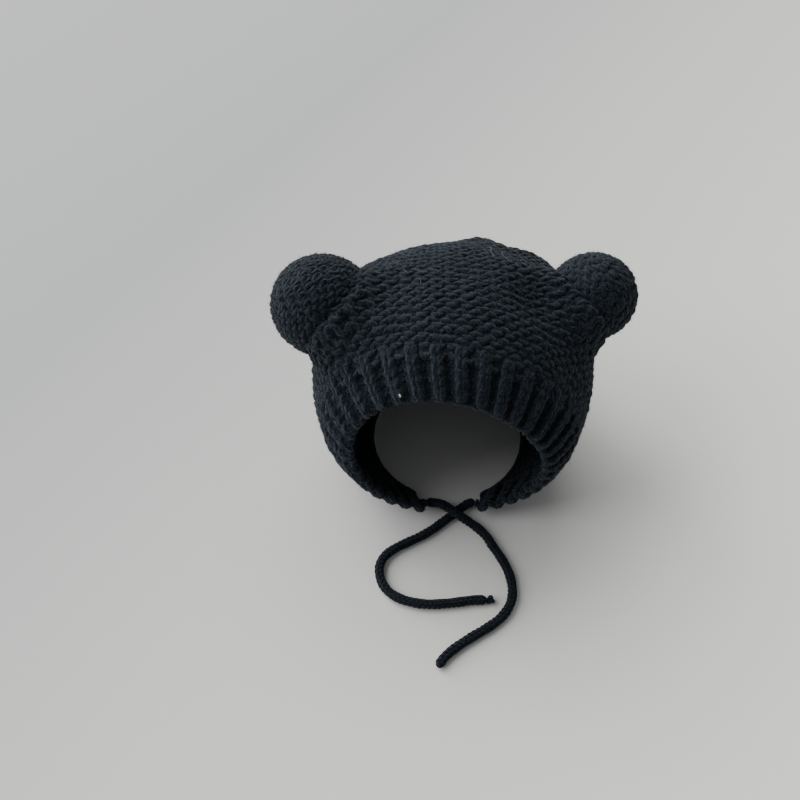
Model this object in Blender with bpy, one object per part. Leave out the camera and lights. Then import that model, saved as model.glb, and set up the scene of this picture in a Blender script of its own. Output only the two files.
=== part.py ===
"""Knitted baby bonnet with two round stuffed ears, a ribbed face band and two chin ties.

Metres, +Z up. The face looks along -Y and the flat neck edge stands on z = 0. The knitted walls
are worked out round the dome's face axis. A place on them has a polar angle, counted from
straight ahead, and a turn about that axis, counted from the top and growing towards +X.
"""

import math
from collections import namedtuple

import bmesh
import bpy
import numpy as np

# The dome of the crown
CROWN_RADIUS = 0.0777
WALL = 0.0060
CENTRE_HEIGHT = 0.0600
SEAM_GAP = 0.0003

# The face opening, its ribbed band and the gap between the flaps at the chin. The opening
# faces a little up and to the left, by a tilt and a lean, and its oval is skewed. All three
# are degrees.
FACE_OPENING_RADIUS = 0.0497
FACE_TILT = 2.2
FACE_LEAN = 4.0
FACE_SKEW = 2.6
BAND_WIDTH = 0.0245
RIBS_ROUND = 36
RIB_HEIGHT = 0.0016
CHIN_GAP = 0.0300

# The two stuffed ears. Polar angle and turn are degrees. The radius, and the reach of the ear's
# centre past the dome's plain radius, are shares of CROWN_RADIUS. A left ear's turn is negative.
Ear = namedtuple("Ear", "name polar turn radius reach")
EARS = (
    Ear("ear_left", 97.7, -54.0, 0.360, 0.118),
    Ear("ear_right", 102.0, 55.5, 0.312, 0.150),
)
EAR_FLATNESS = 0.94

# Each fold swells (or dents) the dome around one direction. The polar angle, the turn and the
# two spreads are degrees, and the height is a share of CROWN_RADIUS.
Fold = namedtuple("Fold", "name polar turn polar_spread turn_spread height")
FOLDS = (
    Fold("left shoulder", 98.0, -52.0, 25.0, 27.0, 0.066),
    Fold("right shoulder", 100.0, 52.0, 25.0, 27.0, 0.064),
    Fold("full back of the head", 133.0, 10.0, 36.0, 47.0, 0.018),
    Fold("peak of the back", 139.0, 18.0, 8.0, 9.0, 0.050),
    Fold("hump behind the right ear", 126.0, 42.0, 8.0, 13.0, 0.048),
    Fold("hollow beside the peak, left", 141.0, -9.0, 18.0, 25.0, -0.030),
    Fold("ridge beside the left ear", 113.0, -40.0, 8.0, 9.0, 0.030),
    Fold("ridge towards the middle, left", 101.0, -27.0, 7.0, 10.0, 0.024),
    Fold("pinch inside the left ear", 92.0, -34.0, 9.0, 10.0, -0.040),
    Fold("ridge beside the right ear", 115.0, 42.0, 8.0, 9.0, 0.030),
    Fold("ridge towards the middle, right", 103.0, 27.0, 7.0, 11.0, 0.032),
    Fold("crease behind the right ridge", 120.0, 27.0, 7.0, 12.0, -0.018),
    Fold("pinch inside the right ear", 90.0, 31.0, 10.0, 12.0, -0.042),
    Fold("left cheek", 72.0, -106.0, 24.0, 30.0, 0.020),
)

# The knitted chin ties
TIE_DIAMETER = 0.0052
KNOT_DIAMETER = 0.0048

# Routes of the ties from the flap's end to the free end, in metres. The tie of the left flap
# crosses over the other one, and both then lie on the ground.
LEFT_TIE_ROUTE = (
    (-0.0147, -0.0573, 0.0050),
    (-0.0112, -0.0573, 0.0054),
    (-0.0056, -0.0594, 0.0076),
    (-0.0004, -0.0632, 0.0086),
    (0.0048, -0.0668, 0.0076),
    (0.0108, -0.0700, 0.0052),
    (0.0162, -0.0735, 0.0033),
    (0.0203, -0.0780, 0.0028),
    (0.0230, -0.0830, 0.0027),
    (0.0264, -0.0887, 0.0027),
    (0.0296, -0.0950, 0.0027),
    (0.0318, -0.1012, 0.0027),
    (0.0328, -0.1080, 0.0027),
    (0.0323, -0.1146, 0.0027),
    (0.0300, -0.1204, 0.0027),
    (0.0253, -0.1263, 0.0027),
    (0.0183, -0.1315, 0.0027),
    (0.0095, -0.1367, 0.0027),
    (0.0009, -0.1422, 0.0027),
    (-0.0055, -0.1474, 0.0027),
    (-0.0098, -0.1530, 0.0027),
)
RIGHT_TIE_ROUTE = (
    (0.0147, -0.0573, 0.0050),
    (0.0112, -0.0573, 0.0046),
    (0.0060, -0.0602, 0.0033),
    (0.0012, -0.0640, 0.0027),
    (-0.0040, -0.0682, 0.0027),
    (-0.0098, -0.0728, 0.0027),
    (-0.0165, -0.0772, 0.0027),
    (-0.0242, -0.0811, 0.0027),
    (-0.0322, -0.0853, 0.0027),
    (-0.0380, -0.0899, 0.0027),
    (-0.0408, -0.0955, 0.0027),
    (-0.0409, -0.1016, 0.0027),
    (-0.0388, -0.1074, 0.0027),
    (-0.0342, -0.1125, 0.0027),
    (-0.0266, -0.1163, 0.0027),
    (-0.0152, -0.1184, 0.0027),
    (-0.0020, -0.1178, 0.0027),
    (0.0100, -0.1162, 0.0027),
    (0.0185, -0.1160, 0.0027),
)

# How finely the round forms are faceted
BAND_STEPS_PER_RIB = 4
CROWN_STEPS_PER_RIB = 2
BAND_ROWS = 5
CROWN_ROWS = 22
EAR_SIDES = 26
EAR_ROWS = 14
KNOT_SIDES = 10
TIE_SIDES_RESOLUTION = 2
TIE_STEP_DIAMETERS = 1.5

FACE_POLAR = math.asin(FACE_OPENING_RADIUS / (CROWN_RADIUS - WALL))
BAND_POLAR = FACE_POLAR + BAND_WIDTH / CROWN_RADIUS
SEAM_ANGLE = SEAM_GAP / CROWN_RADIUS


def direction(polar, turn):
    """Unit vectors at polar angles from -Y and turns from +Z towards +X, one for each pair."""
    across = np.sin(polar)
    return np.stack([across * np.sin(turn), -np.cos(polar) + 0 * turn, across * np.cos(turn)], -1)


def dome_radius(polar, turn):
    """The dome's radius: a sphere swollen by one soft bell for each row of FOLDS."""
    share = np.ones(np.broadcast(polar, turn).shape)
    for fold in FOLDS:
        away_polar = (polar - math.radians(fold.polar)) / math.radians(fold.polar_spread)
        away_turn = (turn - math.radians(fold.turn)) / math.radians(fold.turn_spread)
        bell = np.exp(-(away_polar**2) - (away_turn * np.sin(polar)) ** 2)
        share = share + fold.height * bell
    return CROWN_RADIUS * share


def slant(row_polar, turn):
    """The polar angles of a slanted row: the face opening's tilt, lean and skew, which fade
    out evenly towards the back."""
    lean = math.radians(FACE_TILT) * np.cos(turn) - math.radians(FACE_LEAN) * np.sin(turn)
    lean = lean - math.radians(FACE_SKEW) * np.sin(2 * turn)
    return row_polar + lean * np.clip((math.pi - row_polar) / (math.pi - BAND_POLAR), 0.0, 1.0)


def rib_height(row_polar, turn):
    """How far the ribs stand out: full at the face edge and fading at the crown's seam."""
    along = (row_polar - FACE_POLAR) / (BAND_POLAR - FACE_POLAR)
    return RIB_HEIGHT * (0.5 + 0.5 * np.cos(RIBS_ROUND * turn)) * (1.0 - along**6)


def dome_centre():
    """The dome's centre, set so that the standing hat's box is centred from front to back."""
    turn = ring_turns(RIBS_ROUND * BAND_STEPS_PER_RIB)
    edge = slant(FACE_POLAR, turn)
    front = ((dome_radius(edge, turn) + rib_height(FACE_POLAR, turn)) * np.cos(edge)).max()
    rear = np.linspace(BAND_POLAR, math.pi, CROWN_ROWS)[:, None]
    back = -(dome_radius(rear, turn) * np.cos(rear)).min()
    return np.array([0.0, (front - back) / 2, CENTRE_HEIGHT])


def dome_points(polar, turn, lift):
    """Places on the dome, each one lift metres outside its radius."""
    return dome_centre() + (dome_radius(polar, turn) + lift)[..., None] * direction(polar, turn)


def ring_turns(steps):
    """Turns once round the face axis, starting at the chin."""
    return np.linspace(-math.pi, math.pi, steps, endpoint=False)


def make_material(name, colour, roughness):
    material = bpy.data.materials.new(name)
    material.use_nodes = True
    shader = material.node_tree.nodes["Principled BSDF"]
    shader.inputs["Base Color"].default_value = (*colour, 1.0)
    shader.inputs["Roughness"].default_value = roughness
    shader.inputs["Metallic"].default_value = 0.0
    return material


def link(name, data, material):
    """A new object in the scene that holds the data, in its own material."""
    made = bpy.data.objects.new(name, data)
    bpy.context.scene.collection.objects.link(made)
    if material is not None:
        data.materials.append(material)
    return made


def ring_faces(rows, columns):
    """Triangles between the rows of a grid of points that closes on itself sideways. Every
    square is split along the same diagonal, so two grids a gap apart never cross."""
    row, column = np.meshgrid(np.arange(rows - 1), np.arange(columns), indexing="ij")
    beside = (column + 1) % columns
    near, near_beside = row * columns + column, row * columns + beside
    far, far_beside = near + columns, near_beside + columns
    corners = np.stack([near, near_beside, far_beside, near, far_beside, far], -1)
    return corners.reshape(-1, 3).tolist()


def fan_faces(start, columns, tip):
    """Triangles from a closed row of points to one tip."""
    return [(start + c, start + (c + 1) % columns, tip) for c in range(columns)]


def solid_object(name, vertices, faces, material):
    """A closed body from points and faces, with its faces turned outwards."""
    mesh = bpy.data.meshes.new(name)
    mesh.from_pydata([tuple(point) for point in vertices], [], faces)
    shape = bmesh.new()
    shape.from_mesh(mesh)
    bmesh.ops.recalc_face_normals(shape, faces=shape.faces)
    shape.to_mesh(mesh)
    shape.free()
    mesh.shade_smooth()
    return link(name, mesh, material)


def shell_object(name, outer, inner, outer_tip, inner_tip, material):
    """A wall between two grids: bridged at the first row, and at the last one too or, where
    tips are given, closed there by a fan in each skin."""
    rows, columns = outer.shape[:2]
    count = rows * columns
    vertices = list(outer.reshape(-1, 3)) + list(inner.reshape(-1, 3))
    sheet = ring_faces(rows, columns)
    faces = sheet + [[i + count for i in face] for face in sheet]
    last = count - columns
    bridged = [0] if outer_tip is not None else [0, last]
    for start in bridged:
        for c in range(columns):
            a, b = start + c, start + (c + 1) % columns
            faces.append((a, b, b + count, a + count))
    if outer_tip is not None:
        vertices += [outer_tip, inner_tip]
        faces += fan_faces(last, columns, 2 * count)
        faces += fan_faces(count + last, columns, 2 * count + 1)
    return solid_object(name, vertices, faces, material)


def box_cutter(name, low, high):
    """A box that is only there to cut with."""
    corners = [(x, y, z) for x in (low[0], high[0]) for y in (low[1], high[1])
               for z in (low[2], high[2])]
    faces = [(0, 1, 3, 2), (4, 6, 7, 5), (0, 4, 5, 1), (2, 3, 7, 6), (0, 2, 6, 4), (1, 5, 7, 3)]
    return as_cutter(solid_object(name, corners, faces, None))


def as_cutter(cutter):
    cutter.hide_render = True
    cutter.display_type = "WIRE"
    return cutter


def cut(body, cutter):
    modifier = body.modifiers.new(cutter.name, "BOOLEAN")
    modifier.operation = "DIFFERENCE"
    modifier.solver = "EXACT"
    modifier.object = cutter


def crown_grid(lift):
    """Rows of the crown from its seam with the band to the row before the back's tip."""
    turn = ring_turns(RIBS_ROUND * CROWN_STEPS_PER_RIB)[None, :]
    row_polar = np.linspace(BAND_POLAR + SEAM_ANGLE / 2, math.pi, CROWN_ROWS + 1)[:-1, None]
    points = dome_points(slant(row_polar, turn), turn, lift)
    tip = dome_points(np.array(math.pi), np.array(0.0), lift)
    return points, tip


def make_crown(material):
    outer, outer_tip = crown_grid(0.0)
    inner, inner_tip = crown_grid(-WALL)
    return shell_object("crown", outer, inner, outer_tip, inner_tip, material)


def make_brim(material):
    """The ribbed band, whose ribs run from the face edge back to the crown."""
    turn = ring_turns(RIBS_ROUND * BAND_STEPS_PER_RIB)[None, :]
    row_polar = np.linspace(FACE_POLAR, BAND_POLAR - SEAM_ANGLE / 2, BAND_ROWS + 1)[:, None]
    polar = slant(row_polar, turn)
    outer = dome_points(polar, turn, rib_height(row_polar, turn))
    inner = dome_points(polar, turn, -WALL)
    return shell_object("brim", outer, inner, None, None, material)


def make_ear(ear, crown_skin, material):
    """A stuffed ball, a little flat from front to back, seated on the crown's outer skin."""
    aim = direction(math.radians(ear.polar), math.radians(ear.turn))
    flat_way = np.array([0.0, 1.0, 0.0]) - aim * aim[1]
    flat_way /= np.linalg.norm(flat_way)
    side_way = np.cross(aim, flat_way)
    middle = dome_centre() + CROWN_RADIUS * (1.0 + ear.reach) * aim
    down = np.linspace(0.0, math.pi, EAR_ROWS + 1)[1:-1, None, None]
    turn = ring_turns(EAR_SIDES)[None, :, None]
    ball = np.cos(down) * aim
    ball = ball + np.sin(down) * (np.cos(turn) * side_way + EAR_FLATNESS * np.sin(turn) * flat_way)
    rows = down.shape[0]
    radius = CROWN_RADIUS * ear.radius
    vertices = list((middle + radius * ball).reshape(-1, 3))
    vertices += [middle + radius * aim, middle - radius * aim]
    faces = ring_faces(rows, EAR_SIDES)
    faces += fan_faces(0, EAR_SIDES, rows * EAR_SIDES)
    faces += fan_faces((rows - 1) * EAR_SIDES, EAR_SIDES, rows * EAR_SIDES + 1)
    cut(solid_object(ear.name, vertices, faces, material), crown_skin)


def make_crown_skin():
    """The crown's outer form, filled in and larger by the seam's gap, which the ears sit on."""
    points, tip = crown_grid(SEAM_GAP)
    rows, columns = points.shape[:2]
    vertices = list(points.reshape(-1, 3)) + [tip, dome_centre()]
    faces = ring_faces(rows, columns)
    faces += fan_faces((rows - 1) * columns, columns, rows * columns)
    faces += fan_faces(0, columns, rows * columns + 1)
    return as_cutter(solid_object("crown_skin_cutter", vertices, faces, None))


def smooth_route(route, step):
    """Points about one step apart on the smooth curve through the route's own points."""
    knots = np.array(route)
    ends = [2 * knots[0] - knots[1], 2 * knots[-1] - knots[-2]]
    padded = np.vstack([ends[0], knots, ends[1]])
    points = []
    for before, start, end, after in zip(padded, padded[1:], padded[2:], padded[3:]):
        count = max(1, round(float(np.linalg.norm(end - start)) / step))
        for t in np.arange(count) / count:
            bend = 2 * before - 5 * start + 4 * end - after
            twist = -before + 3 * start - 3 * end + after
            points.append(0.5 * (2 * start + (end - before) * t + bend * t**2 + twist * t**3))
    points.append(knots[-1])
    return np.array(points)


def make_tie(name, route, material):
    """A knitted cord as a round tube with closed ends."""
    points = smooth_route(route, TIE_STEP_DIAMETERS * TIE_DIAMETER)
    curve = bpy.data.curves.new(name, "CURVE")
    curve.dimensions = "3D"
    curve.bevel_depth = TIE_DIAMETER / 2
    curve.bevel_resolution = TIE_SIDES_RESOLUTION
    curve.use_fill_caps = True
    spline = curve.splines.new("POLY")
    spline.points.add(len(points) - 1)
    for place, point in zip(spline.points, points):
        place.co = (*point, 1.0)
    return link(name, curve, material)


def make_knot(name, route, material):
    """The small round knot past a tie's free end."""
    end, before = np.array(route[-1]), np.array(route[-2])
    along = (end - before) / np.linalg.norm(end - before)
    middle = end + along * (KNOT_DIAMETER / 2 + SEAM_GAP)
    down = np.linspace(0.0, math.pi, KNOT_SIDES // 2 + 1)[1:-1, None]
    turn = ring_turns(KNOT_SIDES)[None, :]
    radius = KNOT_DIAMETER / 2
    points = middle + radius * direction(down, turn)
    rows = points.shape[0]
    vertices = list(points.reshape(-1, 3))
    vertices += [middle + (0, -radius, 0), middle + (0, radius, 0)]
    faces = ring_faces(rows, KNOT_SIDES)
    faces += fan_faces(0, KNOT_SIDES, rows * KNOT_SIDES)
    faces += fan_faces((rows - 1) * KNOT_SIDES, KNOT_SIDES, rows * KNOT_SIDES + 1)
    return solid_object(name, vertices, faces, material)


def build():
    for old in list(bpy.data.objects):
        bpy.data.objects.remove(old)

    crown_yarn = make_material("crown_yarn", (0.020, 0.023, 0.028), 0.92)
    brim_yarn = make_material("brim_yarn", (0.014, 0.016, 0.020), 0.92)
    ear_yarn = make_material("ear_yarn", (0.022, 0.026, 0.032), 0.92)
    tie_yarn = make_material("tie_yarn", (0.010, 0.012, 0.016), 0.90)

    crown = make_crown(crown_yarn)
    brim = make_brim(brim_yarn)

    # All that would lie under the ground is cut away, which leaves the flat neck edge
    span = 3 * CROWN_RADIUS
    floor_cutter = box_cutter("floor_cutter", (-span, -span, -span), (span, span, 0.0))
    chin_top = CENTRE_HEIGHT / 2
    chin_low = (-CHIN_GAP / 2, -span, -span)
    chin_cutter = box_cutter("chin_cutter", chin_low, (CHIN_GAP / 2, 0.0, chin_top))
    cut(crown, floor_cutter)
    cut(brim, floor_cutter)
    cut(brim, chin_cutter)

    crown_skin = make_crown_skin()
    for ear in EARS:
        make_ear(ear, crown_skin, ear_yarn)

    make_tie("tie_left", LEFT_TIE_ROUTE, tie_yarn)
    make_tie("tie_right", RIGHT_TIE_ROUTE, tie_yarn)
    make_knot("tie_right_knot", RIGHT_TIE_ROUTE, tie_yarn)


build()
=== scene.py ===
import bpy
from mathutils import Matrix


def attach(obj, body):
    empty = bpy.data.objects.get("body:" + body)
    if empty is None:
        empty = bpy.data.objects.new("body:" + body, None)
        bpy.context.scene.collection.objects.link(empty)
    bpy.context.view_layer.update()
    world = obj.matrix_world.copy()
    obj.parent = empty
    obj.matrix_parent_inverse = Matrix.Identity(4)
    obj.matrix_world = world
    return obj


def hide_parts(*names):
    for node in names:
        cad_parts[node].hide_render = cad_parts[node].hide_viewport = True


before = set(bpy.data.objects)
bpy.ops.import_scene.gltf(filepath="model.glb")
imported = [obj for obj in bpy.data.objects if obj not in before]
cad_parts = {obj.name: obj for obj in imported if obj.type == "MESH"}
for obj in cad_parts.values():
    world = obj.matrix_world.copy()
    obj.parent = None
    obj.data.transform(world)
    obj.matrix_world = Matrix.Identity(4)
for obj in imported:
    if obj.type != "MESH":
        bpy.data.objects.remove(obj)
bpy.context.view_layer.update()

print("nodes:", ", ".join(sorted(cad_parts)))

# %% [markdown]
# # A knitted baby bonnet with two round ears
#
# The real hat is made of one thick, soft yarn. A band of ribs goes round the face, purl rows run
# from there over the head to the back, two corners are stuffed and cinched into ears, and two
# knitted cords tie it at the chin.
#
# Such a fabric could be a plain surface with a bump map. From close by, though, it is the yarn
# itself that is seen: loops that go over and under each other, with dark gaps between them. So
# every row here is a real yarn, a tube that is swept along the curve that a loop of knitting
# follows, and the fabric's look comes out by itself on both of its sides.

# %% Imports and the measures of the loops
import math

import bpy
import numpy as np
from mathutils import Matrix, Vector

# The solids' dome, in metres as all lengths are: its outer radius, its wall and its centre
CROWN_RADIUS = 0.0777
WALL = 0.0060
CENTRE_HEIGHT = 0.0600
DOME_CENTRE = np.array([0.0, -0.0082, CENTRE_HEIGHT])
# Stitches on the widest rows, the yarn's radius, and the length in which a ply goes round it
STITCHES_ROUND = 64
YARN_RADIUS = 0.00168
PLY_TURN = 0.0042
# A loop's swing to the sides as a share of its width, and its reach as a share of a row's height
LOOP_SWING = 0.235
LOOP_REACH = 0.84
# The lowest middle line of a yarn and the lowest fibre over the surface that the hat stands on
LOWEST_LOOP = 0.0022
LOWEST_FIBRE = 0.0003
UP = np.array([0.0, 0.0, 1.0])
FULL = 2 * math.pi

# %% [markdown]
# ## The camera
#
# The hat stands on a pale surface and is seen from above, about 55 degrees over the horizon and
# straight from its front. The camera is set first, because it decides what shows.

# %% Camera
PICTURE = 800
FOCAL_PIXELS = 858
ELEVATION = math.radians(55.5)
DISTANCE = 0.486
HAT_PIXEL = (452, 380)


def make_camera():
    """A camera whose axis is turned down by ELEVATION. It is moved sideways and down until the
    dome's centre, DISTANCE away, falls on HAT_PIXEL: an offset in metres is an offset in pixels
    times the distance over the focal length."""
    right = Vector((1.0, 0.0, 0.0))
    up = Vector((0.0, math.sin(ELEVATION), math.cos(ELEVATION)))
    back = Vector((0.0, -math.cos(ELEVATION), math.sin(ELEVATION)))
    aside = (HAT_PIXEL[0] - PICTURE / 2) * DISTANCE / FOCAL_PIXELS
    above = (PICTURE / 2 - HAT_PIXEL[1]) * DISTANCE / FOCAL_PIXELS
    data = bpy.data.cameras.new("camera")
    data.sensor_width = 36.0
    data.lens = FOCAL_PIXELS / PICTURE * data.sensor_width
    data.clip_start = 0.01
    camera = bpy.data.objects.new("camera", data)
    bpy.context.scene.collection.objects.link(camera)
    place = Vector(DOME_CENTRE) + DISTANCE * back - aside * right - above * up
    turned = Matrix((right, up, back)).transposed().to_4x4()
    camera.matrix_world = Matrix.Translation(place) @ turned
    bpy.context.scene.camera = camera
    print("camera at", [round(v, 4) for v in place], "lens", round(data.lens, 2), "mm")


make_camera()

# %% [markdown]
# ## From arrays to meshes
#
# Every yarn is a tube: a ring of points is carried along a path. All rings of a path are worked
# out at once with numpy. The helper below also writes a UV map, whose first number runs along the
# yarn in metres and whose second goes once round it, so that the material can twist the plies of
# the yarn along its own way.


# %% Meshes from grids of points
def unit(vectors):
    """The vectors divided by their lengths."""
    return vectors / np.linalg.norm(vectors, axis=-1, keepdims=True)


def sweep(path, outward, radius, sides):
    """The tube round a path as (points, quads, triangles, uv). A ring's point at angle a is
    path + radius * (cos(a) * side + sin(a) * up), where side is the path's direction crossed
    with outward, and up is at right angles to both. Both ends are drawn in and closed."""
    tangent = unit(np.gradient(path, axis=0))
    side = unit(np.cross(tangent, outward))
    up = np.cross(side, tangent)
    radius = np.broadcast_to(radius, len(path))
    # One more ring at each end, further out and smaller, rounds it off
    end_reach, end_size = 0.60, 0.62
    path = np.concatenate([path[:1] - tangent[:1] * radius[0] * end_reach, path,
                           path[-1:] + tangent[-1:] * radius[-1] * end_reach])
    side, up = (np.concatenate([a[:1], a, a[-1:]]) for a in (side, up))
    radius = np.concatenate([radius[:1] * end_size, radius, radius[-1:] * end_size])
    angle = np.arange(sides) / sides * FULL
    ring = np.cos(angle)[:, None] * side[:, None] + np.sin(angle)[:, None] * up[:, None]
    points = path[:, None] + radius[:, None, None] * ring
    rings = len(path)
    row, column = np.meshgrid(np.arange(rings - 1), np.arange(sides), indexing="ij")
    beside = (column + 1) % sides
    quads = np.stack([row * sides + column, (row + 1) * sides + column,
                      (row + 1) * sides + beside, row * sides + beside], -1).reshape(-1, 4)
    steps = np.linalg.norm(np.diff(path, axis=0), axis=1)
    run = np.concatenate([[0.0], np.cumsum(steps)])
    uv = np.stack([
        np.stack([run[row], column / sides], -1), np.stack([run[row + 1], column / sides], -1),
        np.stack([run[row + 1], (column + 1) / sides], -1),
        np.stack([run[row], (column + 1) / sides], -1)], 2).reshape(-1, 4, 2)
    fan = np.arange(1, sides - 1)
    first = np.stack([0 * fan, fan, fan + 1], -1)
    last = np.stack([0 * fan, fan + 1, fan], -1) + (rings - 1) * sides
    return points.reshape(-1, 3), quads, np.concatenate([first, last]), uv


def join(parts):
    """Several tubes as one: each part's faces are counted on from the points before it."""
    count = np.cumsum([0] + [len(p[0]) for p in parts[:-1]])
    points = np.concatenate([p[0] for p in parts])
    quads = np.concatenate([p[1] + c for p, c in zip(parts, count)])
    triangles = np.concatenate([p[2] + c for p, c in zip(parts, count)])
    return points, quads, triangles, np.concatenate([p[3] for p in parts])


def add_mesh(name, shape, material):
    """A mesh object from (points, quads, triangles, uv), smooth, with its place in its mesh."""
    points, quads, triangles, uv = shape
    mesh = bpy.data.meshes.new(name)
    corners = np.concatenate([quads.ravel(), triangles.ravel()])
    starts = np.concatenate([4 * np.arange(len(quads)),
                             4 * len(quads) + 3 * np.arange(len(triangles))])
    mesh.vertices.add(len(points))
    mesh.vertices.foreach_set("co", points.astype(np.float32).ravel())
    mesh.loops.add(len(corners))
    mesh.loops.foreach_set("vertex_index", corners.astype(np.int32))
    mesh.polygons.add(len(starts))
    mesh.polygons.foreach_set("loop_start", starts.astype(np.int32))
    layer = mesh.uv_layers.new(name="yarn")
    along = np.zeros((len(corners), 2), np.float32)
    along[:4 * len(quads)] = uv.reshape(-1, 2)
    layer.data.foreach_set("uv", along.ravel())
    mesh.update(calc_edges=True)
    mesh.shade_smooth()
    made = bpy.data.objects.new(name, mesh)
    bpy.context.scene.collection.objects.link(made)
    mesh.materials.append(material)
    print(f"{name}: {2 * len(quads) + len(triangles)} triangles")
    return made


def stand_for(piece, node):
    """The piece belongs to the hat's one body, and it replaces a node's solid."""
    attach(piece, "root")
    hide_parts(node)


# %% [markdown]
# ## The yarn's material
#
# The yarn is a matte black with a slightly cool tint. It is spun from fibres, which catch a soft
# grey light where they stand off the surface. A little sheen gives that. The plies show as
# slanted grooves that follow the yarn, so they are drawn in its own UV map: a wave of the length
# plus the turn round the yarn. Noise with a grain of a millimetre makes the tufts, and a coarser
# one makes one stretch of yarn dustier than the next.


# %% Yarn material
PLIES = 3.0
# Grains of noise to a metre, and how much each pattern gives to the height and to the colour
TUFT_SCALE, DUST_SCALE = 850.0, 90.0
GROOVE_HEIGHT, TUFT_HEIGHT = 0.5, 1.6
TUFT_COLOUR, DUST_COLOUR = 1.00, 0.15


def make_yarn(name, dark, light, twist=PLY_TURN):
    """Yarn between two colours. The groove's height is a wave of (u / twist + 3 * v), so three
    plies wind round the yarn. Noise with a grain of a millimetre gives the tufts of fibre, in
    the height and in the colour."""
    material = bpy.data.materials.new(name)
    material.use_nodes = True
    nodes, links = material.node_tree.nodes, material.node_tree.links
    shader = nodes["Principled BSDF"]
    uv = nodes.new("ShaderNodeUVMap")
    uv.uv_map = "yarn"
    split = nodes.new("ShaderNodeSeparateXYZ")
    links.new(uv.outputs["UV"], split.inputs[0])

    def math_node(kind, first, second):
        node = nodes.new("ShaderNodeMath")
        node.operation = kind
        for socket, value in zip(node.inputs, (first, second)):
            if isinstance(value, (int, float)):
                socket.default_value = value
            else:
                links.new(value, socket)
        return node.outputs[0]

    place = nodes.new("ShaderNodeTexCoord")

    def noise(scale, detail, roughness):
        node = nodes.new("ShaderNodeTexNoise")
        node.inputs["Scale"].default_value = scale
        node.inputs["Detail"].default_value = detail
        node.inputs["Roughness"].default_value = roughness
        links.new(place.outputs["Object"], node.inputs["Vector"])
        return node.outputs["Fac"]

    slant_way = math_node("ADD", math_node("DIVIDE", split.outputs[0], twist),
                          math_node("MULTIPLY", split.outputs[1], PLIES))
    groove = math_node("SINE", math_node("MULTIPLY", slant_way, FULL), 0.0)
    tufts = noise(TUFT_SCALE, 4.0, 0.7)
    height = math_node("ADD", math_node("MULTIPLY", groove, GROOVE_HEIGHT),
                       math_node("MULTIPLY", tufts, TUFT_HEIGHT))
    bump = nodes.new("ShaderNodeBump")
    bump.inputs["Strength"].default_value = 0.75
    bump.inputs["Distance"].default_value = 0.00042
    links.new(height, bump.inputs["Height"])
    links.new(bump.outputs["Normal"], shader.inputs["Normal"])

    dust = noise(DUST_SCALE, 6.0, 0.5)
    share = math_node("ADD", math_node("MULTIPLY", dust, DUST_COLOUR),
                      math_node("MULTIPLY", tufts, TUFT_COLOUR))
    ramp = nodes.new("ShaderNodeValToRGB")
    ramp.color_ramp.elements[0].position = 0.48
    ramp.color_ramp.elements[0].color = (*dark, 1.0)
    ramp.color_ramp.elements[1].position = 0.69
    ramp.color_ramp.elements[1].color = (*light, 1.0)
    links.new(share, ramp.inputs[0])
    links.new(ramp.outputs[0], shader.inputs["Base Color"])
    shader.inputs["Roughness"].default_value = 0.95
    shader.inputs["Specular IOR Level"].default_value = 0.10
    shader.inputs["Sheen Weight"].default_value = 0.10
    shader.inputs["Sheen Roughness"].default_value = 0.60
    shader.inputs["Sheen Tint"].default_value = (0.80, 0.90, 1.0, 1.0)
    return material


TIE_PLY_TURN = 0.0022
crown_yarn = make_yarn("crown_yarn", (0.0012, 0.0024, 0.0048), (0.0205, 0.0285, 0.0380))
brim_yarn = make_yarn("brim_yarn", (0.0010, 0.0022, 0.0046), (0.0150, 0.0218, 0.0305))
ear_yarn = make_yarn("ear_yarn", (0.0012, 0.0024, 0.0048), (0.0205, 0.0285, 0.0380))
# The loose fibres' lighter grey is painted sheen, for the light that thin fibres catch
loose_fibre_painted_sheen = make_yarn("loose_fibre_painted_sheen", (0.0150, 0.0200, 0.0260), (0.0650, 0.0800, 0.0950))
tie_yarn = make_yarn("tie_yarn", (0.0012, 0.0024, 0.0050), (0.0095, 0.0140, 0.0205), TIE_PLY_TURN)
print("the yarns of the crown, the brim, the ears and the ties, and the loose fibres' own")

# %% [markdown]
# ## Loose fibres
#
# Spun yarn is never bare: short ends of fibre stand off it all over. They soften each loop's edge
# and give the hat its fuzzy outline. Hair particles could do it, but plain thin spikes do as well
# from here and stay real geometry. A spike is a pointed, closed body with three sides. Their grey,
# lighter than the yarn's, is painted sheen: the light that thin fibres catch.


# %% Fibres from the faces of a yarn
# How many fibres each piece has
CROWN_FRONT_FIBRES, CROWN_BACK_FIBRES = 34000, 26000
BRIM_FIBRES, EAR_FIBRES, TIE_FIBRES = 18000, 10000, 2500


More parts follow.
